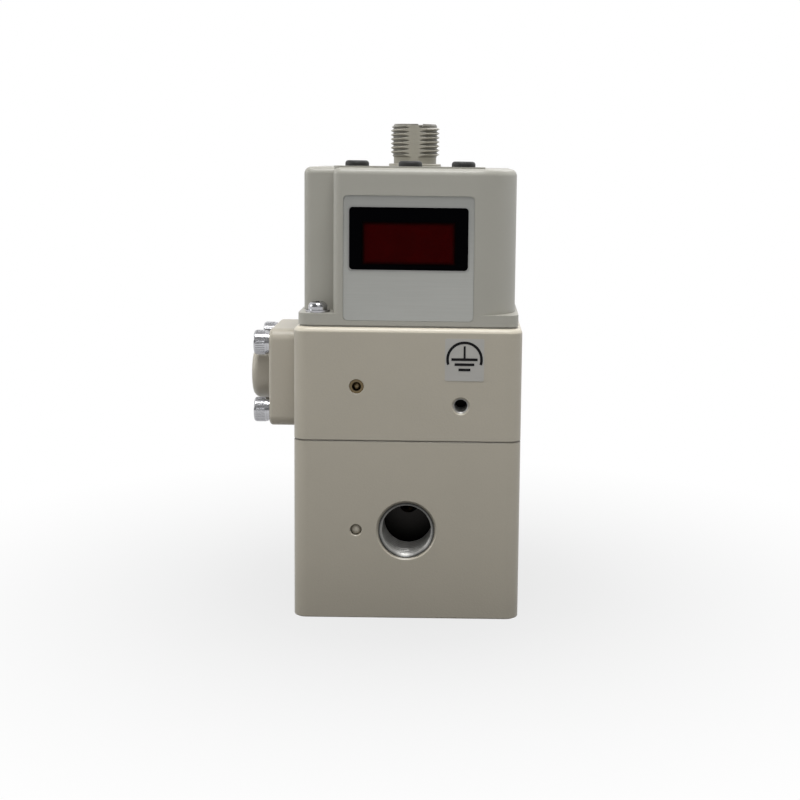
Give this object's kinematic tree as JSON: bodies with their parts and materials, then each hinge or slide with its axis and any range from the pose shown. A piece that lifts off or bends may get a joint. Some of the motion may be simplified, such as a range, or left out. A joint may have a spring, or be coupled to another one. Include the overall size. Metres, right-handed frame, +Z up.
{
  "type": "electro pneumatic regulator",
  "caption": "Square electro-pneumatic pressure regulator with ported valve body, pilot body, side bonnet and a display head with keys and a round plug inlet.",
  "frame": {"origin": "middle of the base face, which is the centre of the mounting-hole pattern", "axes": "+Z up, -Y out of the front with the outlet port and the display, -X towards the side bonnet"},
  "size_m": [0.062, 0.05, 0.1096],
  "materials": {
    "body_paint": "fine satin paint on die-cast metal",
    "bonnet_paint": "satin paint",
    "cover_plastic": "fine moulded grain",
    "film": "satin film",
    "black_plastic": "matt",
    "red_filter": "glossy, tinted",
    "key_plastic": "matt",
    "inlet_metal": "satin",
    "steel": "bright zinc plate",
    "brass": "machined",
    "aluminium": "machined",
    "rubber": "matt",
    "board": "solder mask"
  },
  "bodies": {
    "housing": {"valve_body": "body_paint", "pilot_body": "body_paint", "passage_plug": "body_paint", "side_bonnet": "bonnet_paint", "cover": "cover_plastic", "front_film": "film", "display_bezel": "black_plastic", "display_filter": "red_filter", "inlet_shell": "inlet_metal", "inlet_insert": "black_plastic", "inlet_pins": "brass", "inlet_nut": "steel", "inlet_seal": "rubber", "bottom_cap": "aluminium", "bottom_cap_seal": "rubber", "body_screws": "steel", "valve_seat": "brass", "valve_spring": "steel", "stem_guide": "brass", "diaphragm": "rubber", "bleed_sleeve": "brass", "bleed_ball": "steel", "bonnet_gasket": "rubber", "bonnet_screws": "steel", "bonnet_washers": "steel", "pilot_spring": "steel", "supply_solenoid": "black_plastic", "exhaust_solenoid": "black_plastic", "supply_plunger_spring": "steel", "exhaust_plunger_spring": "steel", "solenoid_gaskets": "rubber", "solenoid_screws": "steel", "pressure_sensor": "steel", "sensor_seal": "rubber", "board_leads": "brass", "board_posts": "brass", "control_board": "board", "board_screws": "steel", "key_switches": "black_plastic", "display_board": "board", "led_display": "black_plastic", "board_header": "black_plastic", "cover_gasket": "rubber", "cover_screws": "steel", "cover_washers": "steel"},
    "left_key_body": {"left_key": "key_plastic"},
    "middle_key_body": {"middle_key": "key_plastic"},
    "right_key_body": {"right_key": "key_plastic"},
    "stem_body": {"valve_stem": "brass", "stem_seals": "rubber", "lower_diaphragm_plate": "aluminium", "upper_diaphragm_plate": "aluminium", "diaphragm_nut": "steel"},
    "supply_valve_body": {"supply_valve": "brass", "supply_valve_face": "rubber"},
    "pilot_piston_body": {"pilot_piston": "brass", "pilot_piston_seal": "rubber"},
    "supply_plunger_body": {"supply_plunger": "steel"},
    "exhaust_plunger_body": {"exhaust_plunger": "steel"}
  },
  "joints": [
    {"name": "left_key_press", "type": "slide", "parent": "housing", "child": "left_key_body", "axis": [0, 0, -1], "range_m": [0, 0.0006], "stiffness_N_per_m": 400, "springref_m": -0.001},
    {"name": "middle_key_press", "type": "slide", "parent": "housing", "child": "middle_key_body", "axis": [0, 0, -1], "range_m": [0, 0.0006], "stiffness_N_per_m": 400, "springref_m": -0.001},
    {"name": "right_key_press", "type": "slide", "parent": "housing", "child": "right_key_body", "axis": [0, 0, -1], "range_m": [0, 0.0006], "stiffness_N_per_m": 400, "springref_m": -0.001},
    {"name": "stem_slide", "type": "slide", "parent": "housing", "child": "stem_body", "axis": [0, 0, -1], "range_m": [0, 0.0012], "stiffness_N_per_m": 1500, "springref_m": -0.001, "deforming": ["diaphragm"]},
    {"name": "supply_valve_slide", "type": "slide", "parent": "housing", "child": "supply_valve_body", "axis": [0, 0, -1], "range_m": [0, 0.0012], "deforming": ["valve_spring"]},
    {"name": "pilot_piston_slide", "type": "slide", "parent": "housing", "child": "pilot_piston_body", "axis": [-1, 0, 0], "range_m": [0, 0.0008], "stiffness_N_per_m": 1500, "springref_m": -0.001, "deforming": ["pilot_spring"]},
    {"name": "supply_plunger_lift", "type": "slide", "parent": "housing", "child": "supply_plunger_body", "axis": [0, 0, 1], "range_m": [0, 0.0004], "stiffness_N_per_m": 800, "springref_m": -0.001, "deforming": ["supply_plunger_spring"]},
    {"name": "exhaust_plunger_lift", "type": "slide", "parent": "housing", "child": "exhaust_plunger_body", "axis": [0, 0, 1], "range_m": [0, 0.0004], "stiffness_N_per_m": 800, "springref_m": -0.001, "deforming": ["exhaust_plunger_spring"]}
  ],
  "couplings": [
    {"joint": "supply_valve_slide", "follows": "stem_slide", "ratio": 1}
  ]
}
